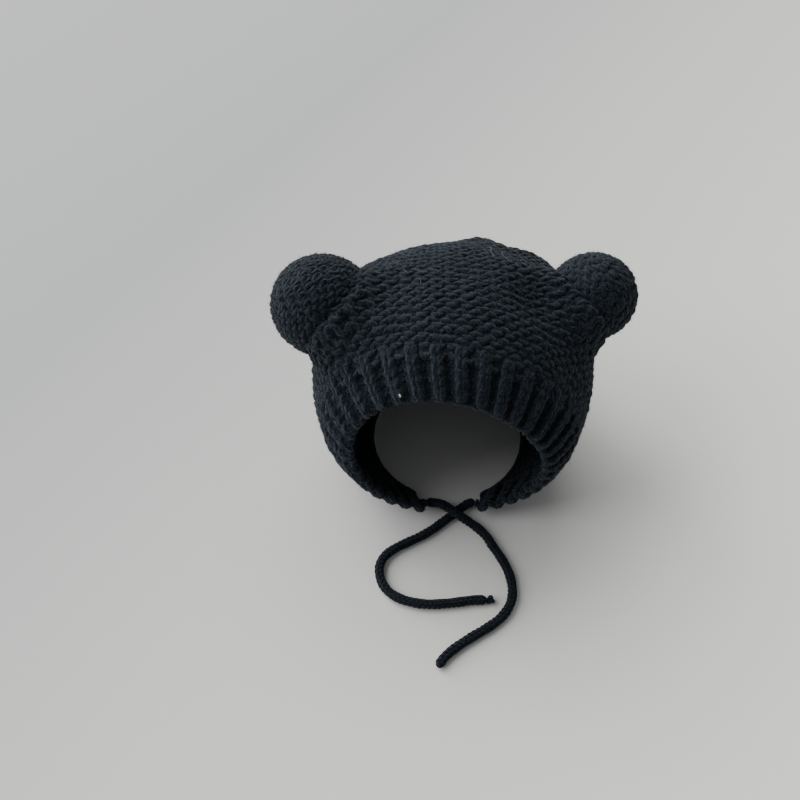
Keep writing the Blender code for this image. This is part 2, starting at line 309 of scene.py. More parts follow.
def spikes(shape, count, length, thickness, seed):
    """Spikes on randomly chosen faces of a shape. Each one starts at a face's middle and ends
    at middle + tall * unit(normal + 0.9 * chance), where tall is the length times a chance
    share to the power 1.5. Its foot is a triangle round the start."""
    points, quads = shape[:2]
    chance = np.random.default_rng(seed)
    chosen = quads[chance.integers(0, len(quads), count)]
    corner = points[chosen]
    foot = corner.mean(axis=1)
    normal = unit(np.cross(corner[:, 2] - corner[:, 0], corner[:, 3] - corner[:, 1]) + 1e-12)
    way = unit(normal + 0.9 * unit(chance.normal(size=(count, 3))))
    tall = length * chance.uniform(0.4, 1.0, (count, 1)) ** 1.5
    first = unit(np.cross(way, chance.normal(size=(count, 3))))
    second = np.cross(way, first)
    angle = np.arange(3) / 3 * FULL
    ring = np.cos(angle)[:, None] * first[:, None] + np.sin(angle)[:, None] * second[:, None]
    base = (foot - 0.1 * tall * way)[:, None] + thickness / 2 * ring
    tip = foot + tall * way
    spike_points = np.concatenate([base, tip[:, None]], axis=1).reshape(-1, 3)
    # A fibre that would reach below the surface under the hat is laid down just over it
    deep = spike_points[:, 2] - LOWEST_FIBRE
    low = spike_points[:, 2] < LOWEST_FIBRE
    spike_points[low, 2] = LOWEST_FIBRE + 0.1 * deep[low].clip(-0.002, 0.0)
    start = 4 * np.arange(count)[:, None, None]
    sides = np.array([[0, 1, 3], [1, 2, 3], [2, 0, 3], [2, 1, 0]])[None]
    return (spike_points, np.zeros((0, 4), int), (start + sides).reshape(-1, 3),
            np.zeros((0, 4, 2)))


def add_fuzz(name, shape, count, node, length=0.0032, thickness=0.00018):
    """The fibres of one piece, as a piece of their own on the same node. The length of their
    name is the seed of their chance."""
    fuzz = add_mesh(name, spikes(shape, count, length, thickness, len(name)), loose_fibre_painted_sheen)
    stand_for(fuzz, node)


# %% [markdown]
# ## The chin ties
#
# Each tie is a narrow knitted tube, four stitches round, that comes from a small knitting mill or
# from two needles. One yarn makes all of it, going round in a helix. The left flap's tie crosses
# over the right one and both lie in loose curves on the surface. The routes are the solids' own.

# %% Routes of the ties
# The cord's and the knot's diameters, the height of a row, the yarn's radius and the fibres
TIE_DIAMETER = 0.0052
KNOT_DIAMETER = 0.0048
TIE_ROW = 0.0027
TIE_YARN = 0.00080
TIE_FIBRE_LENGTH, TIE_FIBRE_THICKNESS = 0.0009, 0.00008
LEFT_TIE_ROUTE = (
    (-0.0147, -0.0573, 0.0050), (-0.0112, -0.0573, 0.0054), (-0.0056, -0.0594, 0.0076),
    (-0.0004, -0.0632, 0.0086), (0.0048, -0.0668, 0.0076), (0.0108, -0.0700, 0.0052),
    (0.0162, -0.0735, 0.0033), (0.0203, -0.0780, 0.0028), (0.0230, -0.0830, 0.0027),
    (0.0264, -0.0887, 0.0027), (0.0296, -0.0950, 0.0027), (0.0318, -0.1012, 0.0027),
    (0.0328, -0.1080, 0.0027), (0.0323, -0.1146, 0.0027), (0.0300, -0.1204, 0.0027),
    (0.0253, -0.1263, 0.0027), (0.0183, -0.1315, 0.0027), (0.0095, -0.1367, 0.0027),
    (0.0009, -0.1422, 0.0027), (-0.0055, -0.1474, 0.0027), (-0.0098, -0.1530, 0.0027),
)
RIGHT_TIE_ROUTE = (
    (0.0147, -0.0573, 0.0050), (0.0112, -0.0573, 0.0046), (0.0060, -0.0602, 0.0033),
    (0.0012, -0.0640, 0.0027), (-0.0040, -0.0682, 0.0027), (-0.0098, -0.0728, 0.0027),
    (-0.0165, -0.0772, 0.0027), (-0.0242, -0.0811, 0.0027), (-0.0322, -0.0853, 0.0027),
    (-0.0380, -0.0899, 0.0027), (-0.0408, -0.0955, 0.0027), (-0.0409, -0.1016, 0.0027),
    (-0.0388, -0.1074, 0.0027), (-0.0342, -0.1125, 0.0027), (-0.0266, -0.1163, 0.0027),
    (-0.0152, -0.1184, 0.0027), (-0.0020, -0.1178, 0.0027), (0.0100, -0.1162, 0.0027),
    (0.0185, -0.1160, 0.0027),
)
TIES = (("tie_left", LEFT_TIE_ROUTE, "bare"), ("tie_right", RIGHT_TIE_ROUTE, "knot"))


def smooth_route(route, steps):
    """Points on the smooth curve through the route's points, steps to each stretch. Between two
    points the place is 0.5 * (2 a + (b - z) t + (2 z - 5 a + 4 b - c) t^2 +
    (-z + 3 a - 3 b + c) t^3), where z and c are the points before and after."""
    knots = np.array(route)
    padded = np.vstack([2 * knots[0] - knots[1], knots, 2 * knots[-1] - knots[-2]])
    before, start, end, after = (padded[i:len(padded) - 3 + i][:, None] for i in range(4))
    t = (np.arange(steps) / steps)[None, :, None]
    bend = 2 * before - 5 * start + 4 * end - after
    twist = -before + 3 * start - 3 * end + after
    points = 0.5 * (2 * start + (end - before) * t + bend * t**2 + twist * t**3)
    return np.vstack([points.reshape(-1, 3), knots[-1:]])


def evenly(path, step):
    """The same path with points a step apart, and how far along it each one lies."""
    run = np.concatenate([[0.0], np.cumsum(np.linalg.norm(np.diff(path, axis=0), axis=1))])
    places = np.linspace(0.0, run[-1], max(2, int(round(run[-1] / step)) + 1))
    return np.stack([np.interp(places, run, path[:, i]) for i in range(3)], -1), places


# %% [markdown]
# A loop of knitting is a curve with a simple formula. While t goes once round, x runs on by one
# stitch and swings back and forth by sin 2t, y goes down and up by cos t, and z comes forward and
# back by cos 2t. The heads and feet of the loops are then on one side, the purl side, and the
# legs on the other, the knit side. On a cord x goes round it, y along it and z away from its
# middle, and the rows join up into a helix.


# %% Knitted cord
# Stitches round a cord, their depth, and their swing and reach as shares of width and height
CORD_COLUMNS = 4
CORD_DEPTH = 0.00030
CORD_SWING, CORD_REACH = 0.24, 0.86
# How much fuller than a plain tube the knitting is, and the air under its lowest loops
CORD_FULLNESS = 0.0002
CORD_AIR = 0.0002
# The length from one thick place of a cord to the next
SWELL_LENGTH = 0.0113


def knitted_cord(route, diameter, row, yarn, steps):
    """A cord from one yarn, with steps rings to a loop. The yarn's place is path(y) + drawn *
    (radius + z) * (cos(x) side + sin(x) up), with x = t / columns + swing sin 2t, y = row t /
    (columns 2 pi) - reach cos t and z = -depth cos 2t. The factor drawn is near 1 and sinks
    to a quarter at the ends. A plain core fills the inside."""
    path, run = evenly(smooth_route(route, 12), 0.0004)
    tangent = unit(np.gradient(path, axis=0))
    side = unit(np.cross(tangent, UP))
    up = np.cross(side, tangent)
    radius = diameter / 2 - yarn - CORD_DEPTH + CORD_FULLNESS
    reach = row * CORD_REACH
    turns = (run[-1] / row + 0.6) * CORD_COLUMNS
    t = np.linspace(0.0, turns * FULL, int(turns * steps))
    along = np.clip(row * t / (CORD_COLUMNS * FULL) - reach * np.cos(t), yarn, run[-1] - yarn)
    around = t / CORD_COLUMNS + CORD_SWING * FULL / CORD_COLUMNS * np.sin(2 * t)
    # The last loops are drawn together, so both ends are round
    near_end = np.minimum(along, run[-1] - along) - yarn
    drawn = np.sqrt(np.clip(near_end / radius, 0.0, 1.0)) * 0.75 + 0.25
    # Each row swells a little, and so does a stretch of the cord now and then
    row_swell = 0.07 * np.cos(FULL * along / row)
    drawn = drawn * (1 + row_swell + 0.04 * np.sin(FULL * along / SWELL_LENGTH))

    def at(values):
        return np.stack([np.interp(along, run, values[:, i]) for i in range(3)], -1)

    out = np.cos(around)[:, None] * at(side) + np.sin(around)[:, None] * at(up)
    loops = at(path) + ((radius - CORD_DEPTH * np.cos(2 * t)) * drawn)[:, None] * out
    loops[:, 2] = np.maximum(loops[:, 2], yarn + CORD_AIR)
    core_path, _ = evenly(path, 0.0015)
    core = sweep(core_path[1:-1], UP, radius * 0.96, 10)
    return join([sweep(loops, out, yarn, 6), core]), path[::8], run[-1]


def end_knot(route):
    """The knot at the end of a route: a trefoil, the simplest closed knot, pulled tight. Along
    the tie, across it and up, its curve is (sin t + 2 sin 2t, cos t - 2 cos 2t, -1.3 sin 3t),
    whose largest numbers are near 3, so it is made smaller by that."""
    last, before = np.array(route[-1]), np.array(route[-2])
    ahead = unit(last - before)
    size = KNOT_DIAMETER / 2 - 0.0006
    middle = last + ahead * size
    t = np.linspace(0.0, FULL, 72)
    bow = np.stack([np.sin(t) + 2 * np.sin(2 * t), np.cos(t) - 2 * np.cos(2 * t),
                    -1.3 * np.sin(3 * t)], -1)
    curl = middle + bow @ np.array([ahead, unit(np.cross(ahead, UP)), UP]) * size / 3.0
    return sweep(curl, curl - middle, 0.00088, 8)


for name, route, end in TIES:
    shape, centre_line, length = knitted_cord(route, TIE_DIAMETER, TIE_ROW, TIE_YARN, 10)
    tie = add_mesh(name + "_cord", shape, tie_yarn)
    stand_for(tie, name)
    knots = []
    if end == "knot":
        knots.append(add_mesh("tie_right_end_knot", end_knot(route), tie_yarn))
        stand_for(knots[0], "tie_right_knot")
    add_fuzz(name + "_fuzz", shape, TIE_FIBRES, name, TIE_FIBRE_LENGTH,
             TIE_FIBRE_THICKNESS)
    print(name, "is", round(length * 1000, 1), "mm long")

# %% [markdown]
# ## The dome
#
# The head part is a ball that is swollen or dented in a few places, as the solids are. A place on
# it has a polar angle, counted from the way that the face looks, and a turn about that way,
# counted from the top. A row of knitting keeps its polar angle and runs along the turns, because
# such a hat is worked from the face to the back of the head.

# %% Surface of the dome
# The face opening's radius, the polar angle at its edge, and how it tilts, leans and is skewed,
# in degrees
FACE_RADIUS = 0.0497
FACE_POLAR = math.asin(FACE_RADIUS / (CROWN_RADIUS - WALL))
FACE_TILT, FACE_LEAN, FACE_SKEW = 2.2, 4.0, 2.6
# The ribbed band round it: its width, the polar angle where it ends, and its ribs
BAND_WIDTH = 0.0245
BAND_POLAR = FACE_POLAR + BAND_WIDTH / CROWN_RADIUS
RIBS_ROUND = 36
# Where the rows end: the height of the neck edge, and the gap at the chin
NECK_HEIGHT = 0.0042
CHIN_GAP = 0.0300
# Polar angle, turn and their spreads in degrees, and the height as a share of the radius
FOLDS = (
    (98.0, -52.0, 25.0, 27.0, 0.066),
    (100.0, 52.0, 25.0, 27.0, 0.064),
    (133.0, 10.0, 36.0, 47.0, 0.018),
    (139.0, 18.0, 8.0, 9.0, 0.050),
    (126.0, 42.0, 8.0, 13.0, 0.048),
    (141.0, -9.0, 18.0, 25.0, -0.030),
    (113.0, -40.0, 8.0, 9.0, 0.030),
    (101.0, -27.0, 7.0, 10.0, 0.024),
    (92.0, -34.0, 9.0, 10.0, -0.040),
    (115.0, 42.0, 8.0, 9.0, 0.030),
    (103.0, 27.0, 7.0, 11.0, 0.032),
    (120.0, 27.0, 7.0, 12.0, -0.018),
    (90.0, 31.0, 10.0, 12.0, -0.042),
    (72.0, -106.0, 24.0, 30.0, 0.020),
)
# Polar angle and turn of each ear in degrees, its radius and its reach past the dome as shares
# of the dome's radius, and the way to its cinched base
EARS = (
    ("ear_left", 97.7, -54.0, 0.360, 0.118, (0.80, -0.42, -0.42)),
    ("ear_right", 102.0, 55.5, 0.312, 0.150, (-0.80, -0.42, -0.42)),
)


def direction(polar, turn):
    """Unit vectors (sin p sin t, -cos p, sin p cos t)."""
    across = np.sin(polar)
    return np.stack([across * np.sin(turn), -np.cos(polar) + 0 * turn, across * np.cos(turn)], -1)


def dome_radius(polar, turn):
    """CROWN_RADIUS times one plus a soft bell for each fold: height * exp(-(away)^2)."""
    polar, turn = np.broadcast_arrays(polar, turn)
    share = np.ones(polar.shape)
    for fold_polar, fold_turn, polar_spread, turn_spread, height in FOLDS:
        away_polar = (polar - math.radians(fold_polar)) / math.radians(polar_spread)
        away_turn = (turn - math.radians(fold_turn)) / math.radians(turn_spread)
        share = share + height * np.exp(-(away_polar**2) - (away_turn * np.sin(polar)) ** 2)
    return CROWN_RADIUS * share


print("the face opening ends at", round(math.degrees(FACE_POLAR), 1), "degrees, the band at",
      round(math.degrees(BAND_POLAR), 1))

# %% [markdown]
# The stuffing of the ears draws the knitting beside them up, so the crown runs into each ear in a
# soft fillet. The places of rows are then worked out on the crown with its fillets.


# %% Fillets beside the ears, and rows on the dome
def falling(value, end, span):
    """1 where the value is span or more below end, 0 from end on, and evenly down between."""
    return np.clip((end - value) / span, 0.0, 1.0)


def drawn_up(polar, turn):
    """How far the crown rises beside the ears, where the stuffing draws it up. The surface is
    where smin(a, b) = 0. Here a is the height over the dome and b that over the ear, and
    smin(a, b) = min(a, b) - max(k - |a - b|, 0)^2 / (4 k) rounds the crease between the two,
    with round_off as k. The rise is at most 9 mm, or 14 mm nearer to the face, and it fades
    out behind the ears and below them."""
    dome = dome_radius(polar, turn)
    out = direction(polar, turn)
    fade = falling(polar, math.radians(113.0), math.radians(16.0))
    fade = fade * falling(abs(turn), math.radians(74.0), math.radians(22.0))
    fade = fade * fade * (3 - 2 * fade)
    round_off = 0.026
    most = 0.0090 + 0.0050 * falling(polar, math.radians(99.0), math.radians(12.0))
    rise = np.zeros(dome.shape)
    for _, ear_polar, ear_turn, radius, reach, _ in EARS:
        aim = direction(np.array(math.radians(ear_polar)), np.array(math.radians(ear_turn)))
        middle = CROWN_RADIUS * (1 + reach) * aim
        far = dome.copy()
        # Steps outward end where smin is nought
        for _ in range(14):
            a = far - dome
            b = np.linalg.norm(far[..., None] * out - middle, axis=-1) - CROWN_RADIUS * radius
            rounded = np.clip(round_off - abs(a - b), 0.0, None) ** 2 / (4 * round_off)
            far = np.clip(far - np.minimum(a, b) + rounded, dome, dome + most)
        rise = np.maximum(rise, (far - dome) * fade)
    return rise


def slant(row_polar, turn):
    """The row's polar angle with the opening's tilt, lean and skew, which fade to the back."""
    lean = math.radians(FACE_TILT) * np.cos(turn) - math.radians(FACE_LEAN) * np.sin(turn)
    lean = lean - math.radians(FACE_SKEW) * np.sin(2 * turn)
    return row_polar + lean * falling(row_polar, math.pi, math.pi - BAND_POLAR)


def dome_points(row_polar, turn, lift):
    """Places on the dome, lift metres outside it, and the ways out from its centre."""
    polar, turn = np.broadcast_arrays(slant(row_polar, turn), turn)
    out = direction(polar, turn)
    far = dome_radius(polar, turn) + drawn_up(polar, turn) + lift
    return DOME_CENTRE + far[..., None] * out, out


def at_chin(place, half_gap):
    """Whether places are in the gap at the chin: in front, low, and half_gap from the middle."""
    low = place[..., 2] < CENTRE_HEIGHT / 2
    return (abs(place[..., 0]) < half_gap) & (place[..., 1] < 0) & low


def row_ends(row_polar):
    """The turns, to the left and to the right, at which a row comes down to NECK_HEIGHT or to
    the gap at the chin, looked for at every eighth of a degree. A row that does neither goes
    all the way round."""
    ends = []
    half_gap = CHIN_GAP / 2 + 0.0012
    for way in (-1, 1):
        turn = way * np.linspace(0.0, math.pi, 8 * 180 + 1)
        place, _ = dome_points(np.full(turn.shape, row_polar), turn, -WALL / 2)
        stopped = (place[:, 2] < NECK_HEIGHT) | at_chin(place, half_gap)
        ends.append(turn[np.argmax(stopped)] if stopped.any() else turn[-1])
    return ends


print("the row next to the band runs", [round(math.degrees(end)) for end in row_ends(BAND_POLAR)],
      "degrees to the left and right")

# %% [markdown]
# No two loops of a hand knitted row are quite alike. All chance comes from one stream of numbers
# that starts the same way each time, so the hat is always the same.

# %% Chance in the yarn
YARN_SEED = 11
random = np.random.default_rng(YARN_SEED)


def uneven(t, size):
    """A value for each loop between -size and size, passing smoothly from loop to loop."""
    loop = t / FULL
    first = math.floor(loop[0])
    values = random.uniform(-size, size, int(math.ceil(loop[-1])) - first + 3)
    return np.interp(loop, first + np.arange(len(values)), values)


def lumps(t, size):
    """A lumpy thickness, as spun yarn has: chance values between -size and size, one for each
    ring, eased by their neighbours."""
    values = random.uniform(-size, size, len(t) + 2)
    return 0.25 * values[:-2] + 0.5 * values[1:-1] + 0.25 * values[2:]


def spun(radius, t, by_loop, by_ring):
    """The radius along a yarn: uneven from loop to loop, and lumpy from ring to ring."""
    return radius * (1 + uneven(t, by_loop) + lumps(t, by_ring))


# %% [markdown]
# ## The purl rows of the crown
#
# The crown shows its purl side: the heads and feet of the loops stand out as short bumps in rows.
# Each row is one yarn. It runs round the dome as far as the neck edge, and near the back, where
# the rings grow small, it has fewer stitches, as when a knitter decreases.

# %% Crown rows
# Rings to a loop and sides to a ring
SEGMENTS = 14
SIDES = 7
# The height of a row behind, what it has more at the band, and the height that YARN_RADIUS suits
ROW_HEIGHT = 0.0046
ROW_STRETCH = 0.0012
YARN_ROW = 0.0050
# The front of the hat ends at this polar angle. Behind it the backing lies lower and the loops
# stand out more, and both change evenly over the angle before it
FRONT_END = math.radians(125.0)
LOOPS_CHANGE, BACKING_CHANGE = 0.44, math.radians(25.0)


def row_height(polar):
    """The rows are stretched over the forehead and close up towards the back: 5.8 mm at the
    band, and 4.6 mm from 115 degrees on."""
    even = math.radians(115.0)
    return ROW_HEIGHT + ROW_STRETCH * falling(polar, even, even - BAND_POLAR)


def purl_row(row_polar, stitches):
    """One row of loops on the dome: x = t / stitches + swing sin 2t is the turn, y = -reach
    cos t is added to the polar angle and z = depth cos 2t to the radius. The row wanders a
    little, by slow waves of the turn."""
    left, right = row_ends(row_polar)
    tall = row_height(row_polar)
    t = np.arange(math.pi + left * stitches, math.pi + right * stitches, FULL / SEGMENTS)
    turn = (t - math.pi) / stitches + LOOP_SWING * FULL / stitches * np.sin(2 * t)
    reach = (LOOP_REACH * tall + uneven(t, 0.0003)) / CROWN_RADIUS
    wander = 0.0007 * np.sin(5 * turn + 9 * row_polar)
    wander = wander + 0.0004 * np.sin(13 * turn - 15 * row_polar)
    polar = row_polar - reach * np.cos(t) + (wander + uneven(t, 0.0002)) / CROWN_RADIUS
    depth = 0.00115 - 0.00025 * falling(row_polar, FRONT_END, LOOPS_CHANGE)
    lift = -WALL / 2 + (depth + uneven(t, 0.0002)) * np.cos(2 * t) + uneven(t, 0.0002)
    place, out = dome_points(polar, turn, lift)
    # No loop reaches into the surface that the hat stands on
    place[:, 2] = np.maximum(place[:, 2], LOWEST_LOOP)
    return sweep(place, out, spun(YARN_RADIUS * (tall / YARN_ROW), t, 0.09, 0.14), SIDES)


def stitches_at(row_polar):
    """The number of stitches all round: full on the wide rings, fewer by eights behind."""
    wide = min(1.0, math.sin(row_polar) / 0.90)
    return max(8, 8 * round(STITCHES_ROUND * wide / 8))


# The first row starts a millimetre past the band, and the last one ends near the pole behind
rows = [BAND_POLAR + 0.0010 / CROWN_RADIUS]
while rows[-1] < math.pi - 0.05:
    rows.append(rows[-1] + row_height(rows[-1]) / CROWN_RADIUS)
print(len(rows), "purl rows, with", stitches_at(rows[0]), "to", stitches_at(rows[-1]), "stitches")


def patch(place, dropped):
    """A grid of points as a surface (points, quads, triangles, uv), without the quads that have
    a dropped point."""
    height, width = place.shape[:2]
    row, column = np.meshgrid(np.arange(height - 1), np.arange(width - 1), indexing="ij")
    corner = row * width + column
    quads = np.stack([corner, corner + 1, corner + width + 1, corner + width], -1).reshape(-1, 4)
    quads = quads[~dropped.ravel()[quads].any(axis=1)]
    used, quads = np.unique(quads, return_inverse=True)
    quads = quads.reshape(-1, 4)
    return (place.reshape(-1, 3)[used], quads, np.zeros((0, 3), int),
            np.zeros((len(quads), 4, 2)))


def backing(first, last, steps, front, behind, wave=0.0):
    """The inside of the wall, between the loops of its two sides: a sheet with the form of the
    dome, which keeps light from falling through. It lies front or behind metres over the
    middle of the wall, with a soft change at the top of the head. On the band it rises and
    falls by wave * (1.4 cos(ribs * turn) + 0.5), held between -wave and wave: flat and wide
    under the ribs, and narrow between them."""
    columns = 24 * RIBS_ROUND if wave else 4 * RIBS_ROUND
    turn = np.linspace(-math.pi, math.pi, columns + 1)[None, :]
    polar = np.linspace(first, last, steps)[:, None]
    share = falling(polar, FRONT_END, BACKING_CHANGE)
    high = -WALL / 2 + behind + (front - behind) * share
    high = high + wave * np.clip(1.4 * np.cos(RIBS_ROUND * turn) + 0.5, -1.0, 1.0)
    place, _ = dome_points(polar + 0 * turn, turn + 0 * polar, high)
    return patch(place, (place[..., 2] < LOWEST_LOOP) | at_chin(place, CHIN_GAP / 2))


# The front rows are the longer ones, so they are fewer: each piece has about as many triangles
middle_row = len(rows) // 2 - 4
for name, chosen, fibres in (("crown_front_rows", rows[:middle_row], CROWN_FRONT_FIBRES),
                             ("crown_back_rows", rows[middle_row:], CROWN_BACK_FIBRES)):
    tubes = [purl_row(polar, stitches_at(polar)) for polar in chosen]
    if name == "crown_front_rows":
        tubes.append(backing(BAND_POLAR - 0.02, math.pi - 0.001, 90, front=0.0012, behind=0.0004))
    shape = join(tubes)
    piece = add_mesh(name, shape, crown_yarn)
    stand_for(piece, "crown")
    add_fuzz(name + "_fuzz", shape, fibres, "crown")

# %% [markdown]
# ## The ribbed band
#
# In a one by one rib, knit and purl columns take turns. The knit columns come forward and show
# two legs of yarn in a V, and the purl columns sink between them. The yarn goes from the front to
# the back at each change, so the depth wave is slow there.

# %% Brim
# Rows of the band, the radii of its yarn and of the strand at its edge, and rings to a loop
BAND_ROWS = 5
BAND_YARN = 0.00184
EDGE_STRAND = 0.00135
BAND_SEGMENTS = 16
# How far the ribs stand out from the middle of the wall, and a loop's reach along them
RIB_DEPTH = 0.0015
RIB_REACH = 0.0042
# How far the legs of a knit stitch are drawn together, as a share of a rib's width
LEGS_DRAWN = 0.03


def rib_row(row_polar):
    """One row of the rib. A pair of stitches is one rib: the slow wave sin(t / 2) brings the
    knit stitch forward and sends the purl stitch back, and its sign turns the loop over. With x
    pairs gone by, x - 0.03 sin(2 pi x) draws the two legs of the knit stitch together. The
    last row, next to the crown, is flatter."""
    stitches = 2 * RIBS_ROUND
    left, right = row_ends(row_polar)
    t = np.arange(math.pi + left * stitches, math.pi + right * stitches, FULL / BAND_SEGMENTS)
    sway = np.clip(1.7 * np.sin(t / 2), -1.0, 1.0)
    pairs = (t - math.pi) / (2 * FULL)
    wide = 1 - LEGS_DRAWN * FULL * np.cos(FULL * pairs)
    swing = (0.20 - 0.03 * sway) / 2 * wide * np.sin(2 * t)
    turn = (pairs - LEGS_DRAWN * np.sin(FULL * pairs) + swing) * FULL / RIBS_ROUND
    reach = (RIB_REACH + uneven(t, 0.0003)) / CROWN_RADIUS
    polar = row_polar - reach * np.cos(t)
    depth = RIB_DEPTH * (0.6 if row_polar > BAND_POLAR - 0.004 / CROWN_RADIUS else 1.0)
    lift = -WALL / 2 + 0.0001 + depth * sway - (0.00055 * sway + 0.00025) * np.cos(2 * t)
    place, out = dome_points(polar, turn, lift + uneven(t, 0.0002))
    place[:, 2] = np.maximum(place[:, 2], LOWEST_LOOP)
    return sweep(place, out, spun(BAND_YARN, t, 0.06, 0.10), SIDES)


band_step = (BAND_POLAR - FACE_POLAR) / BAND_ROWS
band = [rib_row(FACE_POLAR + (i + 0.72) * band_step) for i in range(BAND_ROWS)]


def edge_strand(row_polar):
    """The yarn that finishes the face edge: it goes in and out with the ribs, by 1.2 mm times
    cos(ribs * turn), and winds round that line four times to a rib."""
    left, right = row_ends(row_polar)
    turn = np.arange(left, right, FULL / (RIBS_ROUND * BAND_SEGMENTS))
    wave = np.cos(RIBS_ROUND * turn)
    twist = 4 * RIBS_ROUND * turn
    polar = row_polar + 0.0005 / CROWN_RADIUS * np.sin(twist)
    place, out = dome_points(polar, turn, -WALL / 2 + 0.0012 * wave + 0.0005 * np.cos(twist))
    return sweep(place, out, EDGE_STRAND, SIDES)


band.append(edge_strand(FACE_POLAR + 0.0004 / CROWN_RADIUS))
band.append(backing(FACE_POLAR + 0.001 / CROWN_RADIUS, BAND_POLAR + 0.02, 16, front=0.0012,
                    behind=0.0012, wave=0.0012))
shape = join(band)
brim = add_mesh("brim_ribs", shape, brim_yarn)
stand_for(brim, "brim")
add_fuzz("brim_fuzz", shape, BRIM_FIBRES, "brim")

# %% [markdown]
# ## Stray fibres
#
# A black knit shows every pale fibre that settles on it. There are a few long ones on the crown
# and one speck of lint on a rib. Each is a fine tube through a handful of places on the dome.


# %% Stray fibres
# Height over the crown and radius in metres, and places as polar angles and turns in degrees
STRAYS = (
    (0.0012, 0.00009, ((100, -20), (98, -18.5), (99.5, -16), (97.5, -13), (99, -11), (98, -8))),
    (0.0012, 0.00008, ((93, -17), (95, -15.5), (94, -14), (92, -14))),
    (0.0013, 0.00010, ((116, 14.5), (111, 13.5), (107, 14), (107.5, 18), (107, 21))),
    (0.0013, 0.00009, ((112, 18), (108, 17.5), (104.5, 19), (103, 21.5))),
    (0.0013, 0.00008, ((104, 24), (102, 27), (103, 30))),
)
LINT = (0.0018, 0.00045, ((52.2, -28.2), (51.9, -28.0), (51.4, -28.1)))


def stray(lift, radius, places):
    """A smooth fine tube through places given as polar angles and turns in degrees."""
    polar, turn = np.radians(np.array(places)).T
    out = direction(polar, turn)
    knots = DOME_CENTRE + (dome_radius(polar, turn) + drawn_up(polar, turn) + lift)[:, None] * out
    path = smooth_route(knots, 8)
    return sweep(path, unit(path - DOME_CENTRE), radius, 5)


pale = make_yarn("pale_fibre", (0.16, 0.16, 0.16), (0.30, 0.30, 0.29))
strays = add_mesh("stray_fibres", join([stray(*row) for row in STRAYS]), pale)
stand_for(strays, "crown")
lint_colour = make_yarn("lint", (0.45, 0.45, 0.43), (0.70, 0.70, 0.67))
lint = add_mesh("lint_speck", stray(*LINT), lint_colour)
stand_for(lint, "brim")

# %% [markdown]
# ## The ears
#
# Each ear is a corner of the knitting that is stuffed and cinched, so the rows go on over it.
# Seen from the front, they follow the ear's upper outline. A ball is knitted in rings here about
# an axis that points at the cinched base, and each ring stops where it meets the crown.

# %% Ears
# An ear's depth from front to back as a share of its width
EAR_FLATNESS = 0.94
# The height of a row and the width of a stitch, and the yarn's radius against the crown's
EAR_ROW = 0.0049
EAR_STITCH = 0.0068
EAR_YARN_SHARE = 0.97
# Heights over the ball of its loops and of its inside, and the loops' depth
EAR_LIFT = -0.0022
EAR_INSIDE = -0.0010
EAR_DEPTH = 0.00075
# How deep inside the crown the knitting of an ear ends
EAR_SUNK = 0.0045
# Places on a ring at which it is looked for
EAR_PLACES = 720


def height_over_crown(points):
    """How far points lie outside the crown: their distance from the dome's centre less the
    crown's own there."""
    away = points - DOME_CENTRE
    far = np.linalg.norm(away, axis=-1)
    polar = np.arccos(np.clip(-away[..., 1] / far, -1, 1))
    turn = np.arctan2(away[..., 0], away[..., 2])
    return far - dome_radius(polar, turn) - drawn_up(polar, turn)


def free_stretch(ring):
    """From where to where a ring of places is clear of the crown, in radians, or None where it
    is clear nowhere. A ring that dips into the crown is followed from its first hidden place."""
    free = height_over_crown(ring) > -EAR_SUNK
    if not free.any():
        return None
    if free.all():
        return 0.0, FULL
    hidden = np.argmin(free)
    clear = np.flatnonzero(np.roll(free, -hidden))
    first = np.linspace(0.0, FULL, EAR_PLACES + 1)[hidden]
    return first + clear[0] / EAR_PLACES * FULL, first + clear[-1] / EAR_PLACES * FULL


